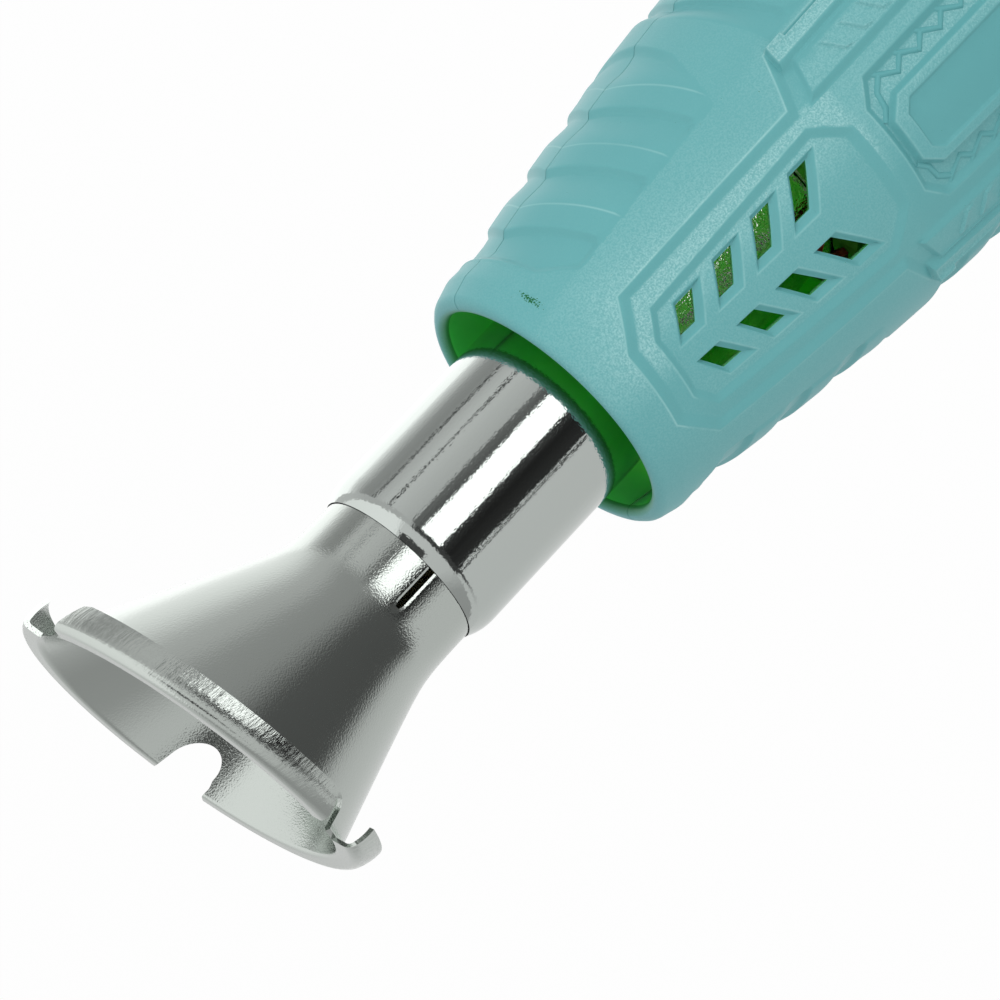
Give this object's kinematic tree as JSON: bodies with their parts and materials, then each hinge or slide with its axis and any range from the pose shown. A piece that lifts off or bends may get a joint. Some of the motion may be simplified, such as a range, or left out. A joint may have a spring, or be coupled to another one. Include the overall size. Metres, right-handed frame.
{
  "type": "hot air tool",
  "caption": "Hand-held craft hot air tool with a ribbed, vented two-part grip, rocker switch, chromed heater tube and push-in slanted reflector nozzle.",
  "frame": {"origin": "centre of the foot pad under the tail, on the surface that the tool stands on", "axes": "+Z along the tool from the tail to the nozzle, +X to the top spine with the rocker switch, -Y to the near side; the housing parts along the plane y = 0"},
  "size_m": [0.0536, 0.0498, 0.2357],
  "materials": {
    "painted_housing": "satin teal paint over green plastic, fine grain on the raised lands",
    "chrome": "bright, with drawing marks",
    "steel": "zinc plated",
    "black_plastic": "satin",
    "rubber": "matt",
    "ceramic": "unglazed",
    "mica": "flaky sheen",
    "heating_wire": "oxidised resistance wire",
    "brass": "bright",
    "circuit_board": "glass fibre board",
    "red_sleeving": "matt sleeving"
  },
  "bodies": {
    "housing": {"shell_near": "painted_housing", "shell_far": "painted_housing", "tail_cap": "painted_housing", "foot_pad": "rubber", "heater_tube": "chrome", "support_plate": "black_plastic", "heater_base": "ceramic", "mica_sleeve": "mica", "mica_board_1": "mica", "mica_board_2": "mica", "heating_coil": "heating_wire", "cutout_band": "steel", "thermal_cutout": "black_plastic", "lead_red": "red_sleeving", "fan_duct": "black_plastic", "motor_can": "steel", "motor_end_cap": "black_plastic", "rectifier_board": "circuit_board", "diode_1": "black_plastic", "diode_2": "black_plastic", "diode_3": "black_plastic", "diode_4": "black_plastic", "switch_bezel": "black_plastic", "switch_body": "black_plastic", "switch_terminal_1": "brass", "switch_terminal_2": "brass", "switch_terminal_3": "brass", "lead_black": "black_plastic", "lead_brown": "red_sleeving", "cord_gland": "rubber", "housing_screw_1": "steel", "housing_screw_2": "steel", "housing_screw_3": "steel", "housing_screw_4": "steel"},
    "rocker": {"rocker": "black_plastic"},
    "rotor": {"motor_shaft": "steel", "impeller": "black_plastic"},
    "nozzle": {"reflector_nozzle": "chrome"}
  },
  "joints": [
    {"name": "rocker_tilt", "type": "hinge", "parent": "housing", "child": "rocker", "pos_m": [0.02514, 0, 0.0498], "axis": [0, 1, 0], "range_deg": [-11, 11]},
    {"name": "fan_spin", "type": "hinge", "parent": "housing", "child": "rotor", "pos_m": [0, 0, 0.11], "axis": [0, 0, 1], "continuous": true},
    {"name": "nozzle_pull", "type": "slide", "parent": "housing", "child": "nozzle", "axis": [0, 0, 1], "range_m": [0, 0.02]}
  ]
}
